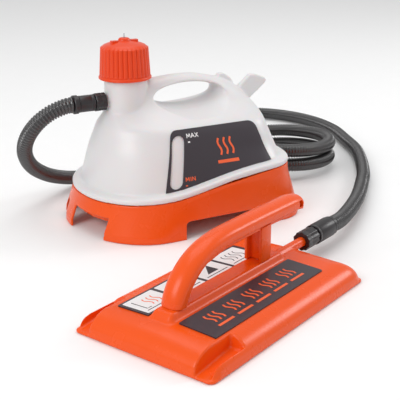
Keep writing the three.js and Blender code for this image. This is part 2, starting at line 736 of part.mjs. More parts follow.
// Height of the plate's top surface at (u, v), measured along and across the plate.
function plateTop(u, v) {
  const across = Math.abs(v);
  const beyondU = Math.max(0, PLATE.roll - (PLATE.length / 2 - Math.abs(u)));
  const beyondV = Math.max(0, PLATE.roll - (PLATE.width / 2 - across));
  const distance = PLATE.roll - (beyondU ** 4 + beyondV ** 4) ** 0.25;
  const crown = PLATE.crown - PLATE.fall * clampedRise(across, 14, PLATE.width / 2 - PLATE.roll);
  const skin = PLATE.lip + (crown - PLATE.lip) * rollProfile(distance);
  const spineEnds = clampedRise(u, SPINE.left - 6, SPINE.left)
    * clampedRise(-u, -SPINE.right - 8, -SPINE.right);
  const spine = SPINE.rise * spineEnds * clampedRise(-across, -SPINE.foot, -SPINE.top);
  const inChannel = u < CHANNEL.start && across > CHANNEL.inner && across < CHANNEL.outer;
  const along = clampedRise(u, -PLATE.length / 2, CHANNEL.start);
  const floor = PLATE.lip + (CHANNEL.deep - PLATE.lip) * along;
  return inChannel ? Math.min(skin, floor) : skin + spine;
}

function gridLines(stops) {
  return [...new Set([...stops, ...stops.map((value) => -value)])].sort((a, b) => a - b);
}

function plateShell() {
  const us = [...gridLines([140, 138.5, 134, 126, 112]), CHANNEL.start, CHANNEL.start + 0.4,
    SPINE.left, SPINE.right, SPINE.right + 8, -40, 0, 40].sort((a, b) => a - b);
  const { inner, outer } = CHANNEL;
  const edge = PLATE.width / 2;
  const vs = gridLines([edge, edge - 1.2, outer, outer - 0.4, 75, inner + 0.4, inner, 58, 54.5, 35,
    SPINE.foot, SPINE.top, 0]).filter((value, i, list) => i === 0 || value !== list[i - 1]);
  const body = heightBody(us, vs, plateTop, 0);
  const trim = roundedRectangle(-PLATE.length / 2, PLATE.length / 2, -PLATE.width / 2,
    PLATE.width / 2, PLATE.corner);
  const inset = 6;
  const shrink = (value, half) => (value * half) / (half - inset);
  const under = (u, v) => {
    const samples = [[0, 0], [4, 0], [-4, 0], [0, 4], [0, -4]];
    const reach = samples.map(([du, dv]) => plateTop(
      shrink(u, PLATE.length / 2) + du, shrink(v, PLATE.width / 2) + dv));
    return Math.max(-1, Math.min(...reach) - PLATE_SKIN);
  };
  const halfU = PLATE.length / 2 - inset;
  const halfV = PLATE.width / 2 - inset;
  const innerUs = [-1, -0.96, -0.9, -0.82, -0.6, -0.55, 0, 0.82, 0.9, 0.96, 1];
  const innerVs = [-1, -0.93, -0.85, -0.72, -0.2, -0.1, 0.1, 0.2, 0.72, 0.85, 0.93, 1];
  const chamber = heightBody(
    innerUs.map((share) => share * halfU), innerVs.map((share) => share * halfV), under, -2);
  const spigot = aimed(rod(SPIGOT_RADIUS, 0, PLATE_FITTING.mouth - 70, 20), [1, 0, 0], [70, 0, SPIGOT_Z]);
  const passage = aimed(rod(3.8, 0, 118, 14), [1, 0, 0], [72, 0, SPIGOT_Z]);
  const inlet = rod(3.8, 12, SPIGOT_Z, 14, 76);
  const screwHoles = [HANDLE.foot, HANDLE.post].map((u) => rod(2.2, 10, 40, 12, u));
  const moulding = join(cut(slab(trim, 0, 60).intersect(body), chamber), spigot);
  return cut(moulding, passage, inlet, ...screwHoles);
}

// The grip bar's section: flat underneath, straight sides and a crowned top.
function gripSection(half, low, shoulder, crown) {
  const shape = new THREE.Shape();
  shape.moveTo(-half, -low);
  shape.lineTo(half, -low);
  shape.lineTo(half, -shoulder);
  for (let i = 1; i < 6; i += 1) {
    const angle = (Math.PI * i) / 6;
    shape.lineTo(half * Math.cos(angle), -shoulder - (crown - shoulder) * Math.sin(angle));
  }
  shape.lineTo(-half, -shoulder);
  shape.closePath();
  return shape;
}

const GRIP_PATH = [
  [HANDLE.foot, 0, 24], [-88.5, 0, 38], [-80, 0, 53], [-64.5, 0, 67], [-44, 0, 76.5],
  [-18, 0, 81], [15, 0, 82], [60, 0, 82], [104, 0, 81.5], [115, 0, 81.2], [126, 0, 79.5],
];

function handleUpper() {
  const { half, low, shoulder, crown } = HANDLE;
  const bar = sweep(gripSection(half, low, shoulder, crown), GRIP_PATH, 22);
  const seat = box([-120, -30, -20], [-60, 30, PLATE.crown + SPINE.rise + GAP]);
  const pocket = box([117.5, -15, 75.8], [124.2, -3, 83]);
  const screw = rod(1.9, 20, 44, 12, HANDLE.foot);
  return cut(bar, seat, pocket, screw);
}

// The lower half closes the bar from below and carries the channel-shaped post.
function handleLower() {
  const path = GRIP_PATH.slice(4, 9).map(([x, y, z]) => [x, y, z - 9.7]);
  const strip = sweep(gripSection(9.5, -2.2, 2.2, 2.2), path, 10);
  const post = slab(outlineShape([
    [46, -11], [64, -11], [64, 11], [46, 11], [46, 7.5], [53, 7.5], [53, -7.5], [46, -7.5],
  ]), PLATE.crown + SPINE.rise + GAP, 72);
  const boss = rod(5, PLATE.crown + SPINE.rise + GAP, 60, 16, HANDLE.post);
  const screw = rod(1.9, 20, 50, 12, HANDLE.post);
  const { half, low, shoulder, crown } = HANDLE;
  const bar = sweep(gripSection(half + 1, low - GAP, shoulder, crown), GRIP_PATH, 22);
  return cut(join(strip, post, boss), bar, screw);
}

function handleScrew(u, top) {
  const head = 13.2;
  return turned([
    [0, head], [3.6, head], [4, head + 2.4], [1.6, head + 2.4], [1.6, top], [0, top + 0.6],
  ], 8, u);
}

// A label lies on the plate between u lines, with v lines where the plate's own slope changes.
function plateLabel(left, right, vs) {
  const last = vs.length - 1;
  const wider = vs.map((v, i) => v + (i === last ? 2 : 0) - (i === 0 ? 2 : 0));
  const top = heightBody([left, 0, right], vs, (u, v) => plateTop(u, v) + 1.4, 15);
  const under = heightBody([left - 5, 0, right + 5], wider, (u, v) => plateTop(u, v) + GAP, 10);
  return cut(top, under);
}

// ---------------------------------------------------------------- assembly
const steamer = new THREE.Group();

const tank = new THREE.Group();
tank.position.set(...TANK_AT, 0);
steamer.add(tank);
piece('tank_shell', tankShell(), COLOURS.white, 0.45, 0, tank);
piece('tank_label', tankLabel(), COLOURS.charcoal, 0.35, 0, tank);
piece('base_skirt', baseSkirt(), COLOURS.orange, 0.4, 0, tank);
piece('base_tray', baseTray(), COLOURS.orange, 0.5, 0, tank);
LUGS.forEach(([x, side], i) => {
  piece(`tray_screw_${i + 1}`, panScrew(x, side * LUG_Y), COLOURS.steel, 0.35, 1, tank);
});
piece('cable_gland', cableGland(), COLOURS.black, 0.5, 0, tank);
piece('gland_nut', glandNut(), COLOURS.black, 0.5, 0, tank);
piece('heating_element', heatingElement(), COLOURS.steel, 0.3, 1, tank);
piece('element_gasket', elementPlate(-4.7, -3.2, 4.4), COLOURS.rubber, 0.8, 0, tank);
piece('element_flange', elementPlate(-2.9, -0.4, 4.4), COLOURS.brass, 0.35, 1, tank);
[-1, 1].forEach((side, i) => {
  piece(`element_screw_${i + 1}`, elementScrew(side), COLOURS.steel, 0.35, 1, tank);
  piece(`element_nut_${i + 1}`, elementNut(side), COLOURS.brass, 0.35, 1, tank);
});
piece('dry_boil_cutout', dryBoilCutout(), COLOURS.steel, 0.4, 1, tank);
piece('terminal_block', terminalBlock(), COLOURS.cream, 0.5, 0, tank);
const ends = { live: [-14, -15, 0x7a3b1d], neutral: [14, 15, 0x2d4f9e] };
for (const [name, [from, to, colour]] of Object.entries(ends)) {
  const run = wire([ELEMENT.end + 0.4, from, ELEMENT.z], [45, to, 31]);
  piece(`${name}_wire`, run, colour, 0.6, 0, tank);
}
const sense = wire([7.5, 0, ELEMENT.z], [45, 0, 31]);
piece('cutout_wire', sense, 0x2d4f9e, 0.6, 0, tank);

const cap = new THREE.Group();
cap.position.set(NECK_X, 0, 0);
tank.add(cap);
const sealRing = ring(NECK_BORE, FINISH_RADIUS, NECK_TOP + GAP, NECK_TOP + 2.6, 32);
piece('cap_seal', sealRing, COLOURS.rubber, 0.7, 0, cap);
piece('filler_cap', fillerCap(), COLOURS.cap, 0.4, 0, cap);
piece('valve_seat', valveSeat(), COLOURS.brass, 0.35, 1, cap);
piece('valve_stem', valveStem(), COLOURS.steel, 0.3, 1, cap);
piece('valve_spring', valveSpring(), COLOURS.steel, 0.3, 1, cap);

const fromNeck = (shape, at) => aimed(shape, [-1, 0, 0], [-at, 0, OUTLET_Z]);
addFitting('outlet', TANK_FITTING, fromNeck, tank);

const hose = new THREE.Group();
steamer.add(hose);
piece('hose_lead', hoseTube(LEAD_ROUTE, 26), COLOURS.black, 0.5, 0, hose);
piece('hose_coil', hoseCoil(), COLOURS.black, 0.5, 0, hose);
piece('hose_tail', hoseTube(TAIL_ROUTE, 38), COLOURS.black, 0.5, 0, hose);

const plate = new THREE.Group();
plate.position.set(...PLATE_AT, 0);
plate.rotation.z = PLATE_YAW;
steamer.add(plate);
piece('plate_shell', plateShell(), COLOURS.orange, 0.4, 0, plate);
piece('handle_upper', handleUpper(), COLOURS.orange, 0.4, 0, plate);
piece('handle_lower', handleLower(), COLOURS.orange, 0.4, 0, plate);
piece('handle_screw_front', handleScrew(HANDLE.foot, 40), COLOURS.steel, 0.35, 1, plate);
piece('handle_screw_rear', handleScrew(HANDLE.post, 46), COLOURS.steel, 0.35, 1, plate);
piece('plate_label', plateLabel(-103, 88, [-61, -58, -54.5, -35, -18]), COLOURS.charcoal, 0.35, 0, plate);
piece('guide_label', plateLabel(-108, 87, [14, 35, 54.5]), COLOURS.charcoal, 0.35, 0, plate);
const fromPlate = (shape, at) => aimed(shape, [1, 0, 0], [at, 0, SPIGOT_Z]);
addFitting('plate', PLATE_FITTING, fromPlate, plate);

export default steamer;
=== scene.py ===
"""A wallpaper steamer: the fine surfaces, labels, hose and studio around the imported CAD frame.

Shapes are built in millimetres, in the tank's or the plate's own axes, and then moved into the row
frame in metres. Where the tank and the plate stand is read from the frame."""

import json
import math

import bpy
import numpy as np
from mathutils import Matrix, Vector
from mathutils.geometry import delaunay_2d_cdt


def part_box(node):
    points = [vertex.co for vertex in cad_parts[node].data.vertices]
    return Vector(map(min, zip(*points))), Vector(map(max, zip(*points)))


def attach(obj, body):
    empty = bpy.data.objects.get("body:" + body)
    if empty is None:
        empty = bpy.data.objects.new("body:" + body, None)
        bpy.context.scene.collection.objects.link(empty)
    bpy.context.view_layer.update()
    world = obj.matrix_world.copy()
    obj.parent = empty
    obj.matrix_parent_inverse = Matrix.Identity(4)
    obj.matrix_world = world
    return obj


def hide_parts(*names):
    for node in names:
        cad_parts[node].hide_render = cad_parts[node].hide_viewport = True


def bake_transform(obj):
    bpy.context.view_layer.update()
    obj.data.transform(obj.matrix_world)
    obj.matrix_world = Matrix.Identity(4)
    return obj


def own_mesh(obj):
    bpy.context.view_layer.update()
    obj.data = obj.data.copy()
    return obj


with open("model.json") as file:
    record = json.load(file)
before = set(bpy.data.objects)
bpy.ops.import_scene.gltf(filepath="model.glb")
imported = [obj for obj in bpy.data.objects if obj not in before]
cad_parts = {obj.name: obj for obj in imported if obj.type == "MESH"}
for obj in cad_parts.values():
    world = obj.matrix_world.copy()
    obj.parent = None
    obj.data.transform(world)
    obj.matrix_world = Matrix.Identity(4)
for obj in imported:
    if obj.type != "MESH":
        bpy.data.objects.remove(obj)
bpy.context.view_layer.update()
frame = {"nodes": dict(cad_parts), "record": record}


# ------------------------------------------------------------------ where things stand
def centre(node):
    low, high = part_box(node)
    return (Vector(low) + Vector(high)) / 2


def place(x, y, yaw=0.0):
    """Millimetres in a piece's own axes to metres in the row frame."""
    turn = Matrix.Rotation(yaw, 4, "Z")
    return Matrix.Translation((x, y, 0)) @ turn @ Matrix.Scale(0.001, 4)


NECK_X = -73.7
FOOT_U = -91
POST_U = 55
neck = centre("cap_seal")
TANK = place(neck.x - NECK_X / 1000, neck.y)
foot = centre("handle_screw_front")
post = centre("handle_screw_rear")
YAW = math.atan2(post.y - foot.y, post.x - foot.x)
PLATE_ORIGIN = foot + (post - foot) * (-FOOT_U / (POST_U - FOOT_U))
PLATE = place(PLATE_ORIGIN.x, PLATE_ORIGIN.y, YAW)
ROW = place(0, 0)

# ------------------------------------------------------------------ camera
camera_data = bpy.data.cameras.new("camera")
camera_data.lens = 81
camera_data.sensor_width = 36
camera = bpy.data.objects.new("camera", camera_data)
camera.location = (-0.4779, -0.8621, 0.411)
camera.rotation_euler = (math.radians(70.7), 0, math.radians(-29.2))
bpy.context.collection.objects.link(camera)
bpy.context.scene.camera = camera


# ------------------------------------------------------------------ mesh helpers
def mesh_object(name, points, faces):
    mesh = bpy.data.meshes.new(name)
    mesh.from_pydata([tuple(p) for p in points], [], faces)
    mesh.validate()
    obj = bpy.data.objects.new(name, mesh)
    bpy.context.collection.objects.link(obj)
    return obj


def apply(obj, kind, **settings):
    """Adds one modifier and writes its result into the mesh."""
    modifier = obj.modifiers.new(kind, kind)
    for key, value in settings.items():
        setattr(modifier, key, value)
    depsgraph = bpy.context.evaluated_depsgraph_get()
    mesh = bpy.data.meshes.new_from_object(obj.evaluated_get(depsgraph))
    obj.modifiers.clear()
    obj.data = mesh
    return obj


def boolean(obj, tools, operation):
    for tool in tools:
        apply(obj, "BOOLEAN", operation=operation, solver="MANIFOLD", object=tool)
        bpy.data.objects.remove(tool)
    return obj


def cut(obj, *tools):
    return boolean(obj, tools, "DIFFERENCE")


def join(obj, *others):
    return boolean(obj, others, "UNION")


def soften(obj, voxel, rounds):
    """Remeshes finely and relaxes the edges, as a moulding's are."""
    apply(obj, "REMESH", mode="VOXEL", voxel_size=voxel)
    return apply(obj, "SMOOTH", factor=0.5, iterations=rounds)


def finish_piece(obj, where, material, body, *nodes, sharp=None):
    """Moves a piece into the row frame, gives it its material and ties it to a body."""
    obj.data.transform(where)
    obj.data.materials.clear()
    obj.data.materials.append(MATERIALS[material])
    obj.data.polygons.foreach_set("use_smooth", [True] * len(obj.data.polygons))
    if sharp is not None:
        obj.data.set_sharp_from_angle(angle=math.radians(sharp))
    obj.data.update()
    if nodes:
        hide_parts(*nodes)
    if body:
        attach(obj, body)
    return obj


def loft(name, rings, closed=False):
    """A body through rings of equal length; closed joins the last ring to the first."""
    count = len(rings[0])
    points = [p for ring in rings for p in ring]
    faces = []
    last = len(rings) if closed else len(rings) - 1
    for level in range(last):
        a = level * count
        b = ((level + 1) % len(rings)) * count
        for i in range(count):
            j = (i + 1) % count
            faces.append((a + i, a + j, b + j, b + i))
    if not closed:
        top = (len(rings) - 1) * count
        faces.append(tuple(reversed(range(count))))
        faces.append(tuple(top + i for i in range(count)))
    return mesh_object(name, points, faces)


def lathe(name, profile, sides=96, radius=None):
    """A closed [radius, z] profile turned about +Z. radius(r, z, angle) may ripple it."""
    rings = []
    for r, z in profile:
        angles = [2 * math.pi * i / sides for i in range(sides)]
        radii = [radius(r, z, a) if radius else r for a in angles]
        rings.append([(q * math.cos(a), q * math.sin(a), z) for q, a in zip(radii, angles)])
    return loft(name, rings, closed=True)


def lathe_solid(name, outer, x=0.0, sides=96):
    """A solid of revolution from its outer [radius, z] points, low to high."""
    angles = [2 * math.pi * i / sides for i in range(sides)]
    rings = [[(x + r * math.cos(a), r * math.sin(a), z) for a in angles] for r, z in outer]
    return loft(name, rings)


def rod(name, radius, low, high):
    return lathe_solid(name, [(radius, low), (radius, high)], sides=64)


def aim(obj, direction, at):
    """Turns a piece made about +Z so that its +Z runs along direction, and moves it."""
    turn = Vector((0, 0, 1)).rotation_difference(Vector(direction)).to_matrix().to_4x4()
    obj.data.transform(Matrix.Translation(at) @ turn)
    return obj


def prism(name, outline, low, high, axis="Y"):
    """An outline in X and Z run along Y, or one in X and Y run along Z."""
    if axis == "Y":
        rings = [[(x, y, z) for x, z in reversed(outline)] for y in (low, high)]
    else:
        rings = [[(x, y, z) for x, y in outline] for z in (low, high)]
    return loft(name, rings)


def rounded(left, right, low, high, corner, steps=8):
    centres = [
        (right - corner, low + corner, -90), (right - corner, high - corner, 0),
        (left + corner, high - corner, 90), (left + corner, low + corner, 180),
    ]
    points = []
    for x, y, start in centres:
        for i in range(steps + 1):
            angle = math.radians(start + 90 * i / steps)
            points.append((x + corner * math.cos(angle), y + corner * math.sin(angle)))
    return points


def grid_body(name, us, vs, height, floor):
    """A closed body between a height function over a grid and one level."""
    across = len(vs)
    layer = len(us) * across
    points = [(u, v, height(u, v)) for u in us for v in vs]
    points += [(u, v, floor) for u in us for v in vs]
    faces = []
    for i in range(len(us) - 1):
        for j in range(across - 1):
            a = i * across + j
            b = a + across
            faces.append((a, b, b + 1, a + 1))
            faces.append((a + layer, a + 1 + layer, b + 1 + layer, b + layer))
    edge = [i * across for i in range(len(us))]
    edge += [(len(us) - 1) * across + j for j in range(1, across)]
    edge += [i * across + across - 1 for i in range(len(us) - 2, -1, -1)]
    edge += [j for j in range(across - 2, 0, -1)]
    for k, a in enumerate(edge):
        b = edge[(k + 1) % len(edge)]
        faces.append((a, a + layer, b + layer, b))
    return mesh_object(name, points, faces)


def spline(points, count):
    """A centripetal Catmull-Rom curve through the points, in even steps along its length."""
    pts = [np.array(p, float) for p in points]
    pts = [2 * pts[0] - pts[1]] + pts + [2 * pts[-1] - pts[-2]]
    fine = []
    for p0, p1, p2, p3 in zip(pts, pts[1:], pts[2:], pts[3:]):
        t0 = 0.0
        t1 = t0 + np.linalg.norm(p1 - p0) ** 0.5
        t2 = t1 + np.linalg.norm(p2 - p1) ** 0.5
        t3 = t2 + np.linalg.norm(p3 - p2) ** 0.5
        for t in np.linspace(t1, t2, 24, endpoint=False):
            a1 = (t1 - t) / (t1 - t0) * p0 + (t - t0) / (t1 - t0) * p1
            a2 = (t2 - t) / (t2 - t1) * p1 + (t - t1) / (t2 - t1) * p2
            a3 = (t3 - t) / (t3 - t2) * p2 + (t - t2) / (t3 - t2) * p3
            b1 = (t2 - t) / (t2 - t0) * a1 + (t - t0) / (t2 - t0) * a2
            b2 = (t3 - t) / (t3 - t1) * a2 + (t - t1) / (t3 - t1) * a3
            fine.append((t2 - t) / (t2 - t1) * b1 + (t - t1) / (t2 - t1) * b2)
    fine.append(pts[-2])
    fine = np.array(fine)
    along = np.concatenate([[0], np.cumsum(np.linalg.norm(np.diff(fine, axis=0), axis=1))])
    even = np.linspace(0, along[-1], count)
    return np.column_stack([np.interp(even, along, fine[:, k]) for k in range(3)]), along[-1]


def along_path(path, section):
    """Rings of a section carried along a path without twisting. section(i) gives [side, up]."""
    tangents = np.gradient(path, axis=0)
    tangents /= np.linalg.norm(tangents, axis=1)[:, None]
    start = np.array((0, 0, 1.0)) if abs(tangents[0][2]) < 0.9 else np.array((-1.0, 0, 0))
    up = start - tangents[0] * (start @ tangents[0])
    rings = []
    for i, (at, tangent) in enumerate(zip(path, tangents)):
        up = up - tangent * (up @ tangent)
        up /= np.linalg.norm(up)
        side = np.cross(up, tangent)
        rings.append([at + side * a + up * b for a, b in section(i)])
    return rings


# ------------------------------------------------------------------ printed and laid-on sheets
def inside(point, outline):
    """Whether a point lies in an outline, by counting crossings."""
    x, y = point
    hit = False
    for (x0, y0), (x1, y1) in zip(outline, outline[1:] + outline[:1]):
        if (y0 > y) != (y1 > y) and x < (x1 - x0) * (y - y0) / (y1 - y0) + x0:
            hit = not hit
    return hit


def divided(outline, step):
    """An outline's points with more between them, no further apart than step."""
    points = []
    for (x0, y0), (x1, y1) in zip(outline, outline[1:] + outline[:1]):
        parts = max(1, math.ceil(math.hypot(x1 - x0, y1 - y0) / step))
        points += [(x0 + (x1 - x0) * k / parts, y0 + (y1 - y0) * k / parts) for k in range(parts)]
    return points


def sheet_triangles(outline, holes, step):
    """Points and triangles that fill an outline, with inner points every step."""
    loops = [divided(outline, step)] + [divided(hole, step) for hole in holes]
    points = []
    edges = []
    for loop in loops:
        first = len(points)
        points += loop
        edges += [(first + i, first + (i + 1) % len(loop)) for i in range(len(loop))]
    border = list(points)
    xs, ys = zip(*outline)
    for x in np.arange(min(xs) + step / 2, max(xs), step):
        for y in np.arange(min(ys) + step / 2, max(ys), step):
            near = min(math.hypot(x - px, y - py) for px, py in border)
            if near > step * 0.45 and inside((x, y), outline):
                points.append((float(x), float(y)))
    found, _, faces, *_ = delaunay_2d_cdt([Vector(p) for p in points], edges, [], 1, 1e-4)
    kept = []
    for face in faces:
        middle = sum((found[i] for i in face), Vector((0, 0))) / len(face)
        if inside(middle, outline) and not any(inside(middle, hole) for hole in holes):
            kept.append(tuple(face))
    return found, kept


def sheet(name, outlines, surface, lift, thick, step=4.0, holes=()):
    """A thin sheet over a surface: surface(a, b, lift) gives a point, outlines are in (a, b)."""
    points = []
    faces = []
    for outline in outlines:
        found, kept = sheet_triangles(list(outline), [list(h) for h in holes], step)
        first = len(points)
        points += [surface(p[0], p[1], lift) for p in found]
        points += [surface(p[0], p[1], lift - thick) for p in found]
        count = len(found)
        borders = {}
        for face in kept:
            if (found[face[1]] - found[face[0]]).cross(found[face[2]] - found[face[0]]) < 0:
                face = tuple(reversed(face))
            faces.append(tuple(first + i for i in face))
            faces.append(tuple(first + count + i for i in reversed(face)))
            for a, b in zip(face, face[1:] + face[:1]):
                borders[(a, b)] = True
        for a, b in borders:
            if (b, a) not in borders:
                faces.append((first + b, first + a, first + count + a, first + count + b))
    return mesh_object(name, points, faces)


def stroke(points, width):
    """The outline of a line of even width."""
    pts = [np.array(p, float) for p in points]
    left = []
    right = []
    for i, p in enumerate(pts):
        before = pts[max(0, i - 1)]
        after = pts[min(len(pts) - 1, i + 1)]
        along = (after - before) / np.linalg.norm(after - before)
        across = np.array((-along[1], along[0])) * width / 2
        left.append(tuple(p + across))
        right.append(tuple(p - across))
    return right + left[::-1]


def curl(x, y, size, swing, steps=10):
    """A rising S-shaped wisp of steam."""
    points = []
    for i in range(steps + 1):
        share = i / steps
        points.append((x + swing * math.sin(2 * math.pi * share), y + size * share))
    return points


# ------------------------------------------------------------------ materials
def surface_material(name, color, roughness, metallic=0.0, specular=0.5, grain=0.0, subsurface=0.0,
                     spread=0.08):
    """A Principled surface whose colour and roughness wander a little, with a fine grain."""
    material = bpy.data.materials.new(name)
    material.use_nodes = True
    nodes = material.node_tree.nodes
    links = material.node_tree.links
    shader = nodes["Principled BSDF"]
    shader.inputs["Metallic"].default_value = metallic
    shader.inputs["Specular IOR Level"].default_value = specular
    shader.inputs["Subsurface Weight"].default_value = subsurface
    shader.inputs["Subsurface Scale"].default_value = 0.004
    where = nodes.new("ShaderNodeTexCoord")
    wander = nodes.new("ShaderNodeTexNoise")
    wander.inputs["Scale"].default_value = 28
    wander.inputs["Detail"].default_value = 4
    links.new(where.outputs["Object"], wander.inputs["Vector"])
    tone = nodes.new("ShaderNodeMix")
    tone.data_type = "RGBA"
    tone.inputs["A"].default_value = (*[c * (1 - spread) for c in color], 1)
    tone.inputs["B"].default_value = (*[min(1, c * (1 + spread)) for c in color], 1)
    links.new(wander.outputs["Fac"], tone.inputs["Factor"])
    links.new(tone.outputs["Result"], shader.inputs["Base Color"])
    sheen = nodes.new("ShaderNodeMapRange")
    sheen.inputs["To Min"].default_value = roughness * 0.85
    sheen.inputs["To Max"].default_value = roughness * 1.15
    links.new(wander.outputs["Fac"], sheen.inputs["Value"])
    links.new(sheen.outputs["Result"], shader.inputs["Roughness"])
    if grain:
        fine = nodes.new("ShaderNodeTexNoise")
        fine.inputs["Scale"].default_value = 900
        fine.inputs["Detail"].default_value = 2
        links.new(where.outputs["Object"], fine.inputs["Vector"])
        bump = nodes.new("ShaderNodeBump")
        bump.inputs["Strength"].default_value = grain
        bump.inputs["Distance"].default_value = 0.0003
        links.new(fine.outputs["Fac"], bump.inputs["Height"])
        links.new(bump.outputs["Normal"], shader.inputs["Normal"])
    return material


MATERIALS = {
    "orange_plastic": surface_material("orange_plastic", (0.84, 0.086, 0.004), 0.27, specular=0.34,
                                       grain=0.10, spread=0.03),
    "cap_plastic": surface_material("cap_plastic", (0.76, 0.055, 0.005), 0.3, specular=0.36,
                                    grain=0.12, spread=0.03),
    "white_plastic": surface_material("white_plastic", (0.72, 0.705, 0.71), 0.34, grain=0.08,
                                      subsurface=0.25, spread=0.015),
    "black_plastic": surface_material("black_plastic", (0.022, 0.019, 0.021), 0.34, grain=0.2),
    "label_film": surface_material("label_film", (0.036, 0.028, 0.036), 0.38, spread=0.05),
    "hose_plastic": surface_material("hose_plastic", (0.024, 0.022, 0.023), 0.2, specular=1.0),
    "rubber": surface_material("rubber", (0.012, 0.012, 0.012), 0.75, grain=0.4),
    "steel": surface_material("steel", (0.60, 0.61, 0.62), 0.28, metallic=1.0),
    "brass": surface_material("brass", (0.62, 0.42, 0.14), 0.3, metallic=1.0),
    "ceramic_cream": surface_material("ceramic_cream", (0.68, 0.63, 0.5), 0.5, grain=0.3),
    "wire_brown": surface_material("wire_brown", (0.2, 0.05, 0.015), 0.5),
    "wire_blue": surface_material("wire_blue", (0.03, 0.09, 0.35), 0.5),
}
PRINTS = {
    "print_white": surface_material("print_white", (0.82, 0.82, 0.82), 0.45, spread=0.02),
    "print_orange": surface_material("print_orange", (0.85, 0.12, 0.03), 0.45, spread=0.02),
    "print_dark": surface_material("print_dark", (0.03, 0.024, 0.03), 0.45, spread=0.02),
}


def finish_print(obj, where, ink, body):
    """Moves a print into the row frame, inks it and ties it to a body."""
    obj.data.transform(where)
    obj.data.materials.append(PRINTS[ink])
    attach(obj, body)


# ------------------------------------------------------------------ tank outlines
# A plan outline has two superelliptic ends, (extreme, run, power), joined by straight sides.
FLANGE_RISE = 7
FLANGE_LEDGE = 8.2
OUTLINES = {
    "base": ((-153, 85, 1.95), (148, 63, 2.9), 110),
    "flange": ((-141, 104, 2.1), (130, 62, 3), 107),
    "body": ((-131, 98, 2.1), (122, 56, 2.8), 96),
}
BODY_LEVELS = [
    (95, (-120, 92, 2.1), (119, 52, 2.7), 84),
    (112, (-114.5, 86, 2.05), (113.5, 48, 2.6), 76.5),
    (125, (-110.5, 80, 2), (109.5, 44, 2.5), 69),
    (133, (-107, 76, 2), (107.5, 44, 2.4), 58),
    (139, (-104.5, 72, 2), (105, 44, 2.3), 46),
    (145, (-102, 68, 2), (101, 44, 2.2), 35),
    (151, (-99, 60, 2), (95.5, 40, 2.1), 27.5),
    (158, (-94, 50, 2), (88.5, 36, 2), 22),
    (166, (-86, 42, 2), (74, 34, 2), 18),
    (173, (-72, 34, 2), (59, 32, 2), 15),
    (179, (-48, 30, 2), (36, 26, 2), 10.5),
    (182.3, (-14, 12, 2), (20, 16, 2), 4),
]
LEVEL_TABLE = np.array([
    [*left, *right, half] for left, right, half in [OUTLINES["body"]] + [row[1:] for row in BODY_LEVELS]
], float)


def seam(x):
    """Height of the seam between the base and the tank's flange."""
    return 58.1 + 15.2 * math.tanh((x + 8) / 76)


def level_heights(x):
    return np.array([seam(x) + FLANGE_LEDGE] + [row[0] for row in BODY_LEVELS], float)


def eased(table, t):
    """Catmull-Rom interpolation down the rows of a table, at row number t."""
    last = len(table) - 1
    i = min(int(t), last - 1)
    f = t - i
    a, b = table[i], table[i + 1]
    before = table[i - 1] if i else 2 * a - b
    after = table[i + 2] if i + 2 <= last else 2 * b - a
    m0 = (b - before) / 2
    m1 = (after - a) / 2
    return (2 * f**3 - 3 * f**2 + 1) * a + (f**3 - 2 * f**2 + f) * m0 \
        + (-2 * f**3 + 3 * f**2) * b + (f**3 - f**2) * m1


def plan(outline, inset=0.0, steps=60, sides=12):
    """The points of a plan outline, moved inwards by inset."""
    left, right, half = outline
    half = half - inset
    points = []
    for (extreme, run, power), other, side in ((right, left, 1), (left, right, -1)):
        middle = extreme - side * run
        for i in range(steps + 1):
            angle = -math.pi / 2 + math.pi * i / steps
            c, s = math.cos(angle), math.sin(angle)
            x = middle + side * (run - inset) * max(c, 0) ** (2 / power)
            points.append((x, side * half * math.copysign(abs(s) ** (2 / power), s)))
        target = other[0] + side * other[1]
        points += [(middle + (target - middle) * i / sides, side * half) for i in range(1, sides)]
    return points


def level_outline(t):
    row = eased(LEVEL_TABLE, t)
    return tuple(row[:3]), tuple(row[3:6]), row[6]


def plan_ring(outline, height, inset=0.0):
    return [(x, y, height(x) if callable(height) else height) for x, y in plan(outline, inset)]


def front(x, z, lift):
    """The point of the tank's front face at (x, z), lifted off it."""
    heights = level_heights(x)
    low, high = 0.0, len(heights) - 1.0
    for _ in range(24):
        t = (low + high) / 2
        if eased(heights, t) < z:
            low = t
        else:
            high = t
    left, right, half = level_outline(t)
    inner_left, inner_right = left[0] + left[1], right[0] - right[1]
    if x < inner_left:
        beyond, power = (inner_left - x) / left[1], left[2]
    else:
        beyond, power = max(0.0, x - inner_right) / right[1], right[2]
    return (x, -half * (1 - min(1, beyond) ** power) ** (1 / power) - lift, z)


# ------------------------------------------------------------------ tank
OUTLET_Z = 157.5
OUTLET = {"radius": 7, "bore": 4.5, "length": 58}
CAP_FOOT = 184
NECK_BORE = 22
THROAT = [(34.5, 105), (32, 117), (29.5, 128), (27.5, 138), (26.5, 148), (26.5, CAP_FOOT - 1),
          (25.5, CAP_FOOT - 1), (25.5, 212)]
PADDLE = [(76, 130), (98, 130), (110.7, 141), (131.8, 157.2), (134.5, 161), (131, 165.8),
          (118.5, 170.3), (108.5, 171.5), (90, 156)]
LIP_OUTLINE = [(52, 166), (80, 158), (81.5, 164.6), (77, 170.6), (66.8, 177.4), (59.8, 177.4),
               (58.5, 173)]
HAND_HOLE = {"x": 6.5, "z": 158, "half": 47.5, "rise": 13.5, "flare": 4, "face": 20, "drop": 0.19,
             "trail": 0.8}


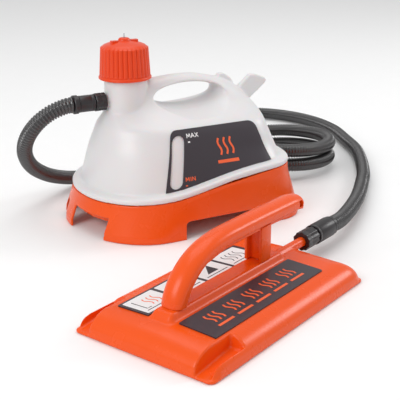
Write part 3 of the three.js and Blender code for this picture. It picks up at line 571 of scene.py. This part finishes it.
def hand_hole():
    """An ellipse through the tank that flares towards both faces and trails off below them."""
    rings = []
    face = HAND_HOLE["face"]
    for y in np.linspace(-62, 62, 63):
        spread = HAND_HOLE["flare"] * min(1, abs(y) / face) ** 2
        beyond = max(0, abs(y) - face)
        points = []
        for angle in np.linspace(0, 2 * math.pi, 72, endpoint=False):
            across, up = math.sin(angle), math.cos(angle)
            reach = HAND_HOLE["half"] + spread + (HAND_HOLE["trail"] * beyond if across > 0 else 0)
            climb = HAND_HOLE["rise"] + spread + (HAND_HOLE["drop"] * beyond if up < 0 else 0)
            points.append((HAND_HOLE["x"] + reach * across, y, HAND_HOLE["z"] + climb * up))
        rings.append(points)
    return loft("hand_hole", rings)


def tank_body():
    flange = OUTLINES["flange"]
    rings = [
        plan_ring(flange, seam, 1.0),
        plan_ring(flange, lambda x: seam(x) + 1.2),
        plan_ring(flange, lambda x: seam(x) + FLANGE_RISE - 1.5),
        plan_ring(flange, lambda x: seam(x) + FLANGE_RISE, 1.2),
        plan_ring(flange, lambda x: seam(x) + FLANGE_RISE + 0.8, 5),
    ]
    last = len(LEVEL_TABLE) - 1
    for t in np.linspace(0, last, last * 6 + 1):
        outline = level_outline(t)
        rings.append([(x, y, eased(level_heights(x), t)) for x, y in plan(outline)])
    body = loft("tank_body", rings)
    throat = lathe_solid("throat", THROAT, NECK_X)
    outlet_at = (NECK_X, 0, OUTLET_Z)
    spigot = aim(rod("spigot", OUTLET["radius"], 0, OUTLET["length"]), (-1, 0, 0), outlet_at)
    paddle = prism("paddle", PADDLE, -4.5, 4.5)
    lip = prism("lip", LIP_OUTLINE, -5, 5)
    join(body, throat, spigot, paddle, lip)
    bore = rod("bore", NECK_BORE, 120, 214)
    bore.data.transform(Matrix.Translation((NECK_X, 0, 0)))
    outlet = aim(rod("outlet", OUTLET["bore"], 20, OUTLET["length"] + 2), (-1, 0, 0), outlet_at)
    cut(body, hand_hole(), bore, outlet)
    soften(body, 1.3, 9)
    return finish_piece(body, TANK, "white_plastic", "tank", "tank_shell")


# Each arch: one corner and the other in plan, and how high it is cut into the skirt.
ARCHES = [
    ((-46, -130), (82, -60), 22), ((-46, 60), (82, 130), 22), ((-170, -62), (-100, 4), 27),
    ((-170, 34), (-100, 62), 24), ((100, -52), (170, 52), 24),
]
GLAND_RADIUS = 6.9
GLAND_AT = (40, 80, 38)


def base_skirt():
    """A thin wall from the floor to the seam, with arches between its feet."""
    base, flange = OUTLINES["base"], OUTLINES["flange"]

    def top(x):
        return seam(x) - 0.3

    def shoulder(x):
        return min(top(x) - 4, 60)

    outer = loft("skirt", [
        plan_ring(base, 0), plan_ring(base, 8, 0.5), plan_ring(flange, shoulder, -0.5),
        plan_ring(flange, top, 0.6),
    ])
    inner = loft("skirt_inside", [
        plan_ring(base, -1, 3), plan_ring(base, 8, 3.5), plan_ring(flange, shoulder, 2.5),
        plan_ring(flange, lambda x: top(x) + 1, 3.4),
    ])
    arches = []
    for low, high, rise in ARCHES:
        along_x = high[0] - low[0] > high[1] - low[1]
        k = 0 if along_x else 1
        outline = rounded(low[k], high[k], -20, rise, 6)
        if along_x:
            arches.append(prism("arch", outline, low[1], high[1]))
        else:
            tool = prism("arch", outline, -high[0], -low[0])
            tool.data.transform(Matrix.Rotation(math.pi / 2, 4, "Z"))
            arches.append(tool)
    gland = aim(rod("gland_hole", GLAND_RADIUS, 0, 40), (0, 1, 0), GLAND_AT)
    cut(outer, inner, *arches, gland)
    soften(outer, 1.0, 3)
    return finish_piece(outer, TANK, "orange_plastic", "tank", "base_skirt")


LABEL_LIFT = 1.55
LABEL_THICK = 1.1
PRINT_THICK = 0.12
LABEL = {"left": -65.5, "right": 84.5, "top": 127.5, "top_left": -46.5, "top_right": 72.5, "corner": 9}
WINDOW = {"x": -52.6, "lean": 0.24, "half": 8.2, "low": 61.2, "high": 121.7}


def bend(start, pull, end, steps=8):
    """A quadratic curve, without its first point."""
    points = []
    for i in range(1, steps + 1):
        s = i / steps
        points.append(tuple((1 - s) ** 2 * a + 2 * s * (1 - s) * b + s * s * c
                            for a, b, c in zip(start, pull, end)))
    return points


def label_outline():
    left, right, top, corner = LABEL["left"], LABEL["right"], LABEL["top"], LABEL["corner"]
    top_left, top_right = LABEL["top_left"], LABEL["top_right"]
    rise = FLANGE_LEDGE + 1
    points = [(x, seam(x) + rise) for x in np.linspace(left, right, 8)]
    start = (top_right + corner * 0.25, top - corner)
    points.append(start)
    points += bend(start, (top_right, top), (top_right - corner, top))
    points.append((top_left + corner, top))
    points += bend((top_left + corner, top), (top_left, top), (top_left - corner * 0.25, top - corner))
    return points


def window_outline():
    """A leaning slot with round ends."""
    half, low, high = WINDOW["half"], WINDOW["low"], WINDOW["high"]
    steps = 40
    points = []
    for i in range(steps):
        angle = 2 * math.pi * i / steps
        end = high - half if math.sin(angle) >= 0 else low + half
        z = end + half * math.sin(angle)
        x = WINDOW["x"] + WINDOW["lean"] * (z - low)
        points.append((x + half * math.cos(angle), z))
    return points


LETTERS = {
    "M": [[(0, 0), (0.1, 1)], [(0.1, 1), (0.5, 0.25)], [(0.5, 0.25), (0.9, 1)], [(0.9, 1), (1, 0)]],
    "A": [[(0, 0), (0.45, 1)], [(0.45, 1), (0.9, 0)], [(0.2, 0.35), (0.7, 0.35)]],
    "X": [[(0, 0), (0.85, 1)], [(0, 1), (0.85, 0)]],
    "I": [[(0.15, 0), (0.15, 1)]],
    "N": [[(0, 0), (0, 1)], [(0, 1), (0.8, 0)], [(0.8, 0), (0.8, 1)]],
}
ADVANCE = {"M": 1.3, "A": 1.2, "X": 1.1, "I": 0.6, "N": 1.1}


def word(text, x, z, size, slope):
    """Plain block letters; slope tilts the line of text."""
    shapes = []
    for letter in text:
        for line in LETTERS[letter]:
            points = [(x + a * size, z + b * size + slope * a * size) for a, b in line]
            shapes.append(stroke(points, size * 0.2))
        x += ADVANCE[letter] * size
        z += ADVANCE[letter] * size * slope
    return shapes


def steam_mark(x, z, size, line):
    """A generic sign for steam: three wisps over a flat bar."""
    shapes = [stroke(curl(x + k * size * 0.32, z + size * 0.28, size * 0.72, size * 0.07), line)
              for k in (-1, 0, 1)]
    shapes.append(stroke([(x - size * 0.55, z), (x + size * 0.55, z)], line * 1.4))
    return shapes


def tank_label():
    label = sheet("tank_label_skin", [label_outline()], front, LABEL_LIFT, LABEL_THICK, 4,
                  [window_outline()])
    finish_piece(label, TANK, "label_film", "tank", "tank_label", sharp=40)
    white = word("MAX", -27, 118, 4.7, 0) + [stroke([(-27, 113.3), (-24, 113.3)], 1.6)]
    orange = word("MIN", -38.8, 69.2, 4.7, 0) + [stroke([(-40, 64.2), (-37.4, 64.4)], 1.2)]
    orange += steam_mark(24, 86, 27, 2.6)
    for ink, shapes in (("white", white), ("orange", orange)):
        marks = sheet(f"tank_print_{ink}", shapes, front, LABEL_LIFT + 0.15, PRINT_THICK, 3)
        finish_print(marks, TANK, f"print_{ink}", "tank")


# ------------------------------------------------------------------ filler cap
RIBS = 32
CAP_SHOULDER = 219
CAP_EDGE = 222.5
CAP_TOP = 234


def cap_ripple(r, z, angle):
    """Soft upright ribs on the cap's side, fading out at the rim and the shoulder."""
    if r < 28 or not CAP_FOOT + 4.2 < z < CAP_EDGE + 0.5:
        return r
    wave = abs(math.cos(RIBS * angle / 2))
    return r + 1.5 * wave**0.6 - 0.2


def filler_cap():
    side = [(30.5 - 0.061 * (z - CAP_FOOT - 5), z) for z in np.linspace(CAP_FOOT + 5, CAP_EDGE, 14)]
    dome = [(27.5, CAP_EDGE + 1.5), (25.8, CAP_EDGE + 2.9), (23, CAP_EDGE + 4.1), (18, CAP_EDGE + 5.6),
            (13, CAP_EDGE + 6.8), (8.6, CAP_EDGE + 7.6), (7.6, CAP_EDGE + 8.1), (7.2, CAP_EDGE + 9.8),
            (6.2, CAP_TOP - 0.5), (5, CAP_TOP)]
    profile = [(1.4, CAP_TOP), (1.4, 225), (8.5, 225), (8.5, 197), (11, 197), (11, CAP_SHOULDER + 5.5),
               (18, CAP_SHOULDER + 5.5), (26.4, 215.5), (26.4, CAP_FOOT + 0.6), (27, CAP_FOOT),
               (32.4, CAP_FOOT), (33, CAP_FOOT + 0.6), (33, CAP_FOOT + 2.4), (32.4, CAP_FOOT + 3.4),
               (31.2, CAP_FOOT + 4.1)] + side + dome
    cap = lathe("cap", profile, RIBS * 12, cap_ripple)
    cap.data.flip_normals()
    lugs = []
    for sign in (-1, 1):
        lug = prism("lug", rounded(*sorted((sign * 9, sign * 18)), -3.5, 3.5, 1.5), CAP_EDGE + 3,
                    CAP_EDGE + 8.6, "Z")
        lugs.append(lug)
    join(cap, *lugs)
    where = TANK @ Matrix.Translation((NECK_X, 0, 0))
    return finish_piece(cap, where, "cap_plastic", "cap", "filler_cap", sharp=35)


SPRING = {"radius": 4.4, "wire": 0.55, "turns": 5, "low": 206.5, "high": 223.5}


def valve_spring():
    """The relief valve's spring, built at one fixed length; the real spring shortens as the stem rises
    under it.
    """
    radius, wire, low, high = SPRING["radius"], SPRING["wire"], SPRING["low"], SPRING["high"]
    helix = []
    for share in np.linspace(0, 1, SPRING["turns"] * 16 + 1):
        angle = 2 * math.pi * SPRING["turns"] * share
        helix.append((radius * math.cos(angle), radius * math.sin(angle), low + (high - low) * share))
    around = [math.radians(a) for a in range(0, 360, 36)]
    section = [(wire * math.cos(a), wire * math.sin(a)) for a in around]
    spring = loft("valve_spring_fine", along_path(np.array(helix), lambda i: section))
    where = TANK @ Matrix.Translation((NECK_X, 0, 0))
    finish_piece(spring, where, "steel", "cap", "valve_spring")
    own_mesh(spring)


# ------------------------------------------------------------------ hose fittings
SPIGOT_Z = 23.5
NUT_LOBES = 10
FITTINGS = {
    "outlet": {"nut": (102.3, 116.5), "cuff": (117.6, 138), "collar": (138.3, 145), "mouth": 131.7,
               "radius": 10.3, "bore": 7.4,
               "way": (-1, 0, 0), "z": OUTLET_Z, "where": TANK, "body": "tank"},
    "plate": {"nut": (145.5, 170), "cuff": (171, 207), "collar": (207.3, 212), "mouth": 188,
              "radius": 12.1, "bore": 6.2,
              "way": (1, 0, 0), "z": SPIGOT_Z, "where": PLATE, "body": "plate"},
}


def fitting(prefix):
    """The locking nut, cuff and collar at one end of the hose."""
    layout = FITTINGS[prefix]
    way = layout["way"]
    pieces = []

    def put(name, profile, start, body, sides=96, radius=None):
        obj = lathe(f"{prefix}_{name}_fine", profile, sides, radius)
        aim(obj, way, (start * way[0], 0, layout["z"]))
        finish_piece(obj, layout["where"], "black_plastic", body, f"{prefix}_{name}", sharp=35)
        pieces.append(obj)

    def lobes(r, z, angle):
        return r + (0.45 * math.cos(NUT_LOBES * angle) if r > 9.5 else 0)

    radius, bore = layout["radius"], layout["bore"]
    start, end = layout["nut"]
    length = end - start
    put("nut", [
        (bore, 0), (10.2, 0), (10.9, 0.8), (10.9, length * 0.3), (10.5, length * 0.36),
        (10.9, length * 0.42), (10.9, length - 0.8), (10.2, length), (bore, length),
    ], start, f"{prefix}_nut_body", 160, lobes)
    start, end = layout["cuff"]
    length = end - start
    inner = layout["mouth"] + 2.9 - start
    put("cuff", [
        (bore, 0), (radius - 0.7, 0), (radius, 0.8), (radius, 3.4), (radius - 0.4, 4.2), (radius, 5),
        (radius, length - 0.8), (radius - 0.6, length), (4, length), (4, inner), (bore, inner),
    ], start, layout["body"])
    start, end = layout["collar"]
    length = end - start
    put("collar", [
        (4, 0), (10.6, 0), (11.5, 0.9), (11.5, length - 0.9), (10.6, length), (4, length),
    ], start, layout["body"])
    return pieces


# ------------------------------------------------------------------ hose
HOSE_RADIUS = 10.0
RING_PITCH = 4.0
RING_DEPTH = 2.3
RING_SAMPLES = 6
LYING = 10.45
COIL_AT = centre("hose_coil") * 1000
COIL_RADIUS = 78
COIL_TURNS = 1.75
TURN_RISE = 21.5
# The hose's route is in the row frame, in millimetres. LYING is its height where it lies flat.
LEAD_ROUTE = [
    (-90.1, 151.5, 157.5), (-94.4, 151.5, 157.4), (-103.4, 152, 155.6), (-116.4, 154.2, 150.5),
    (-129.4, 159.7, 140.5), (-138.4, 168.2, 127), (-141.9, 180.2, 111.5), (-139.9, 194.2, 95.5),
    (-132.4, 210.7, 79.5), (-120.4, 229.2, 63.5), (-103.9, 248.7, 48.5), (-83.4, 267.7, 34.5),
    (-59.4, 284.7, 23), (-32.4, 298.7, 14.5), (-3.4, 309.2, LYING), (40.6, 319.2, LYING),
    (100.6, 326.2, LYING), (160.6, 330, LYING), (224, 331, LYING), (255, 330.3, LYING),
]
TAIL_ROUTE = [
    (205, 282, 47.6), (205, 313.5, 46), (204.8, 336, 40.5), (204.5, 362, 32.5), (205.5, 388, 24.5),
    (208.5, 414, 17), (214, 440, 12), (222.5, 464, LYING), (242, 492, LYING),
    (272.6, 517, LYING), (316.6, 535.2, LYING), (366.6, 535.2, LYING), (415.6, 511.2, LYING),
    (448.6, 467.2, LYING), (464.9, 409.9, LYING), (460.8, 345.8, LYING), (439.4, 282.5, LYING),
    (417.1, 227.1, LYING), (387, 177.4, LYING), (344.3, 118.5, LYING), (322, 93.6, LYING),
    (293.3, 62.5, 12), (261.9, 30.7, 14), (228.1, -0.2, 17), (202.7, -21.4, 19),
    (182.1, -36.9, 20.5), (169, -45.5, 22.3), (159.7, -50.7, 23.4), (154.1, -53.1, SPIGOT_Z),
]


def hose_route():
    coil = []
    steps = int(COIL_TURNS * 16)
    for i in range(steps + 1):
        turn = COIL_TURNS * i / steps
        angle = math.pi / 2 - 2 * math.pi * turn
        x = COIL_AT.x + COIL_RADIUS * math.cos(angle)
        y = COIL_AT.y + COIL_RADIUS * math.sin(angle)
        coil.append((x, y, LYING + TURN_RISE * turn))
    return LEAD_ROUTE + coil + TAIL_ROUTE


def corrugation(distance):
    """Radius of the hose along its length: round rings with narrow grooves between them."""
    wave = abs(math.sin(math.pi * distance / RING_PITCH))
    return HOSE_RADIUS - RING_DEPTH * (1 - wave**0.6)


def hose(fittings):
    """One corrugated tube from the tank's cuff to the plate's cuff."""
    _, length = spline(hose_route(), 10)
    rings_count = round(length / RING_PITCH)
    path, length = spline(hose_route(), rings_count * RING_SAMPLES + 1)
    sides = 16
    turn = [2 * math.pi * k / sides for k in range(sides)]

    def section(i):
        radius = corrugation(RING_PITCH * rings_count * i / (len(path) - 1))
        return [(radius * math.cos(a), radius * math.sin(a)) for a in turn]

    tube = loft("hose", along_path(path, section))
    finish_piece(tube, ROW, "hose_plastic", None, "hose_lead", "hose_coil", "hose_tail")
    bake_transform(tube)


# ------------------------------------------------------------------ steam plate
PLATE_SIZE = (280, 169)
CROWN = 25
FALL = 1.5
ROLL = 30
LIP = 2.5
SPINE = {"left": -104, "right": 84, "top": 9, "foot": 13, "rise": 8}
CHANNEL = {"start": -84, "inner": 64, "outer": 80, "deep": 9}
SPIGOT_RADIUS = 5.7
SPIGOT_LENGTH = 118
PASSAGE_RADIUS = 3.8


def ramp(value, low, high):
    return min(1.0, max(0.0, (value - low) / (high - low)))


def smooth_ramp(value, low, high):
    s = ramp(value, low, high)
    return s * s * (3 - 2 * s)


def plate_top(u, v, with_channels=True):
    """Height of the plate's top at (u, v), along and across the plate."""
    across = abs(v)
    beyond_u = max(0.0, ROLL - (PLATE_SIZE[0] / 2 - abs(u)))
    beyond_v = max(0.0, ROLL - (PLATE_SIZE[1] / 2 - across))
    distance = ROLL - (beyond_u**4 + beyond_v**4) ** 0.25
    share = min(1.0, max(0.0, distance / ROLL))
    crown = CROWN - FALL * ramp(across, 14, PLATE_SIZE[1] / 2 - ROLL)
    skin = LIP + (crown - LIP) * math.sqrt(1 - (1 - share) ** 2)
    front_end = smooth_ramp(u, SPINE["left"] - 8, SPINE["left"] + 2)
    rear_end = smooth_ramp(-u, -SPINE["right"] - 10, -SPINE["right"])
    side = smooth_ramp(-across, -SPINE["foot"] - 2.5, -SPINE["top"])
    spine = SPINE["rise"] * front_end * rear_end * side
    hollow = u < CHANNEL["start"] and CHANNEL["inner"] < across < CHANNEL["outer"]
    if with_channels and hollow:
        return min(skin, LIP + (CHANNEL["deep"] - LIP) * ramp(u, -PLATE_SIZE[0] / 2, CHANNEL["start"]))
    return skin + spine


def on_plate(u, v, lift):
    return (u, v, plate_top(u, v, False) + lift)


def plate_shell():
    half_u, half_v = PLATE_SIZE[0] / 2, PLATE_SIZE[1] / 2
    us = sorted({*np.linspace(-half_u, half_u, 141), CHANNEL["start"] + 0.2})
    vs = sorted({*np.linspace(-half_v, half_v, 111), *[s * (CHANNEL[k] + d) for s in (-1, 1)
                 for k, d in (("inner", -0.2), ("outer", 0.2))]})
    body = grid_body("plate", us, vs, plate_top, 0)
    trim = prism("trim", rounded(-half_u, half_u, -half_v, half_v, 8, 16), -5, 60, "Z")
    boolean(body, [trim], "INTERSECT")
    inset = 6

    def under(u, v):
        spots = [(0, 0), (4, 0), (-4, 0), (0, 4), (0, -4)]
        a, b = u * half_u / (half_u - inset), v * half_v / (half_v - inset)
        return max(-1.0, min(plate_top(a + du, b + dv) for du, dv in spots) - 3)

    inner_us = np.linspace(-half_u + inset, half_u - inset, 120)
    inner_vs = np.linspace(-half_v + inset, half_v - inset, 80)
    chamber = grid_body("chamber", inner_us, inner_vs, under, -2)
    cut(body, chamber)
    spigot = aim(rod("spigot", SPIGOT_RADIUS, 0, SPIGOT_LENGTH), (1, 0, 0), (70, 0, SPIGOT_Z))
    join(body, spigot)
    passage = aim(rod("passage", PASSAGE_RADIUS, 0, SPIGOT_LENGTH), (1, 0, 0), (72, 0, SPIGOT_Z))
    cut(body, passage)
    soften(body, 1.15, 4)
    return finish_piece(body, PLATE, "orange_plastic", "plate", "plate_shell")


GRIP_ROUTE = [
    (FOOT_U, 0, 24), (-88.5, 0, 38), (-80, 0, 53), (-64.5, 0, 67), (-44, 0, 76.5), (-18, 0, 81),
    (15, 0, 82), (60, 0, 82), (104, 0, 81.5), (115, 0, 81.2), (126, 0, 79.5),
]
GRIP = {"half": 13, "low": -7, "shoulder": -1, "crown": 7.5}
HANDLE_FOOT_Z = CROWN + SPINE["rise"] + 0.3
POST_OUTLINE = [(46, -11), (64, -11), (64, 11), (46, 11), (46, 7.5), (53, 7.5), (53, -7.5), (46, -7.5)]


def grip_section(half, low, shoulder, crown, corner=1.6, steps=28):
    """Crowned above, straight at the sides, with small rounded edges below."""
    points = []
    for i in range(steps + 1):
        angle = math.pi * i / steps
        points.append((half * math.cos(angle), shoulder + (crown - shoulder) * math.sin(angle)))
    for x, start in ((-half + corner, 180), (half - corner, 270)):
        for i in range(6):
            angle = math.radians(start + 90 * i / 5)
            points.append((x + corner * math.cos(angle), low + corner + corner * math.sin(angle)))
    return points


def grip_upper():
    """The curved bar, flat where it stands on the plate, with a pocket in the near side of its free end."""
    path, _ = spline(GRIP_ROUTE, 140)
    outline = grip_section(**GRIP)
    rings = along_path(path, lambda i: outline)
    bar = loft("grip_upper", rings)
    floor = prism("floor", rounded(-130, -60, -30, 30, 2), -10, HANDLE_FOOT_Z, "Z")
    pocket = prism("pocket", rounded(117.5, 124.2, -15, -3, 1), 75.8, 83, "Z")
    cut(bar, floor, pocket)
    return finish_piece(bar, PLATE, "orange_plastic", "plate", "handle_upper", sharp=50)


def grip_lower():
    """The strip under the bar and the post that carries it, open towards the bar's foot."""
    path, _ = spline([(x, y, z - 9.7) for x, y, z in GRIP_ROUTE[4:9]], 80)
    strip = loft("grip_lower", along_path(path, lambda i: grip_section(9.5, -2.2, 1.0, 2.2, 1.2)))
    stalk = prism("post", POST_OUTLINE, HANDLE_FOOT_Z, 73, "Z")
    apply(stalk, "BEVEL", width=0.8, segments=2, limit_method="ANGLE")
    join(strip, stalk)
    return finish_piece(strip, PLATE, "orange_plastic", "plate", "handle_lower", sharp=40)


LABEL_RISE = 1.4
LABEL_CORNER = 1.2
LABEL_BOX = {"plate": (-103, 88, -61, -18), "guide": (-108, 87, 14, 54)}
MARK = {"count": 5, "first": -71, "pitch": 31.5}
PANEL = {"count": 4, "first": -104.5, "pitch": 47.6, "width": 43, "low": 17, "high": 51.5}


def label_skin(kind):
    """One of the plate's two labels, laid on its top."""
    outline = rounded(*LABEL_BOX[kind], LABEL_CORNER, 3)
    skin = sheet(f"{kind}_label_skin", [outline], on_plate, LABEL_RISE, LABEL_THICK, 6)
    finish_piece(skin, PLATE, "label_film", "plate", f"{kind}_label", sharp=40)


def plate_print(name, shapes, lift, thick, step, ink):
    finish_print(sheet(name, shapes, on_plate, lift, thick, step), PLATE, ink, "plate")


def plate_label():
    label_skin("plate")
    marks = []
    for k in range(MARK["count"]):
        marks += steam_mark(MARK["first"] + k * MARK["pitch"], -50, 22, 2.2)
    plate_print("plate_print", marks, 1.55, PRINT_THICK, 4, "print_orange")


def guide_label():
    """Four light panels with small drawings of the tool at work."""
    label_skin("guide")
    panels = []
    dark = []
    accent = []
    for k in range(PANEL["count"]):
        left = PANEL["first"] + k * PANEL["pitch"]
        right = left + PANEL["width"]
        panels.append(rounded(left, right, PANEL["low"], PANEL["high"], 1.6, 4))
        middle = left + PANEL["width"] / 2
        dark.append(stroke([(left + 4, 21.5), (right - 4, 21.5)], 1.1))
        if k == 0:
            dark.append(stroke([(middle - 14, 46), (middle - 14, 25), (middle - 8, 25)], 1.1))
            accent += [stroke(curl(middle + s, 27, 16, 1.6), 1.3) for s in (-2, 4, 10)]
        if k == 1:
            dark.append(rounded(middle - 12, middle + 6, 27, 33, 1, 3))
            dark.append(stroke([(middle + 6, 30), (middle + 13, 36), (middle + 13, 45)], 1.3))
        if k == 2:
            dark.append([(middle - 10, 26), (middle + 8, 26), (middle + 8, 44)])
            accent.append(stroke([(middle - 13, 36), (middle - 5, 46)], 1.6))
        if k == 3:
            dark += [stroke(curl(middle + s, 26, 18, 2.2), 1.2) for s in (-11, -4, 3, 10)]
    plate_print("guide_panels", panels, 1.52, 0.1, 6, "print_white")
    plate_print("guide_lines", dark, 1.64, 0.1, 5, "print_dark")
    plate_print("guide_accents", accent, 1.64, 0.1, 5, "print_orange")


# ------------------------------------------------------------------ build
slots = {part["node"]: part["material_slot"] for part in frame["record"]["subparts"]}
for node, obj in frame["nodes"].items():
    obj.data.materials.clear()
    obj.data.materials.append(MATERIALS[slots[node]])

hose(fitting("outlet") + fitting("plate"))
tank_body()
base_skirt()
tank_label()
filler_cap()
valve_spring()
plate_shell()
grip_upper()
grip_lower()
plate_label()
guide_label()


# ------------------------------------------------------------------ studio
def area_light(name, at, target, size, power):
    data = bpy.data.lights.new(name, "AREA")
    data.shape = "SQUARE"
    data.size = size
    data.energy = power
    light = bpy.data.objects.new(name, data)
    light.location = at
    light.rotation_euler = (Vector(target) - Vector(at)).to_track_quat("-Z", "Y").to_euler()
    bpy.context.collection.objects.link(light)


FLOOR_HALF = 12
FLOOR_Z = -0.0005
floor = mesh_object("floor", [
    (x * FLOOR_HALF, y * FLOOR_HALF, FLOOR_Z) for x, y in ((-1, -1), (1, -1), (1, 1), (-1, 1))
], [(0, 1, 2, 3)])
floor.data.materials.append(surface_material("floor", (0.92, 0.92, 0.92), 0.6, spread=0.01))
area_light("key", (-1.9, -0.5, 1.4), (0.0, 0.05, 0.08), 1.1, 19)
area_light("fill", (1.9, -0.2, 1.1), (0.15, 0.05, 0.05), 0.6, 9)
area_light("top", (0.2, 0.5, 2.1), (0.1, 0.1, 0), 1.6, 12)
world = bpy.data.worlds.new("studio")
world.use_nodes = True
world.node_tree.nodes["Background"].inputs["Color"].default_value = (1, 1, 1, 1)
world.node_tree.nodes["Background"].inputs["Strength"].default_value = 0.66
bpy.context.scene.world = world
bpy.context.scene.view_settings.view_transform = "Standard"
